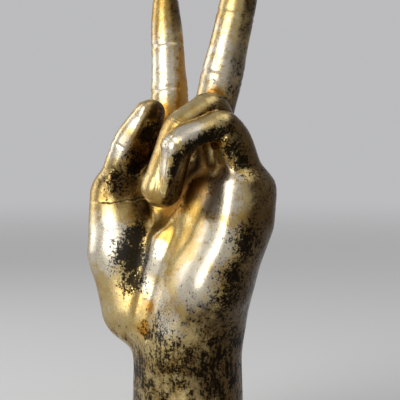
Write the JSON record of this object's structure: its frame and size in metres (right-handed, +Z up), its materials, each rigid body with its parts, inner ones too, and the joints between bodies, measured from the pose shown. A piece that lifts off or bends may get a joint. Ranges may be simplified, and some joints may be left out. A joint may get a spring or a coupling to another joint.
{
  "type": "hand sculpture",
  "caption": "Life-size ceramic ornament of a left hand giving the V sign, standing on its cut wrist, in distressed gold leaf.",
  "frame": {"origin": "on the table under the middle of the oval wrist, on the underside of the felt pad", "axes": "+Z up the wrist to the fingertips; the palm faces -Y, the thumb is on the -X side and the little finger on the +X side"},
  "size_m": [0.1028, 0.0699, 0.2623],
  "materials": {
    "gilded_ceramic": "distressed pale gold leaf over an ochre ground on fired clay",
    "bare_clay": "bare bisque-fired clay, matte",
    "felt": "short black felt"
  },
  "bodies": {
    "root": {"hand_shell": "gilded_ceramic", "thumb": "gilded_ceramic", "index_finger": "gilded_ceramic", "middle_finger": "gilded_ceramic", "ring_finger": "gilded_ceramic", "little_finger": "gilded_ceramic", "base_floor": "bare_clay", "felt_pad": "felt"}
  },
  "joints": []
}
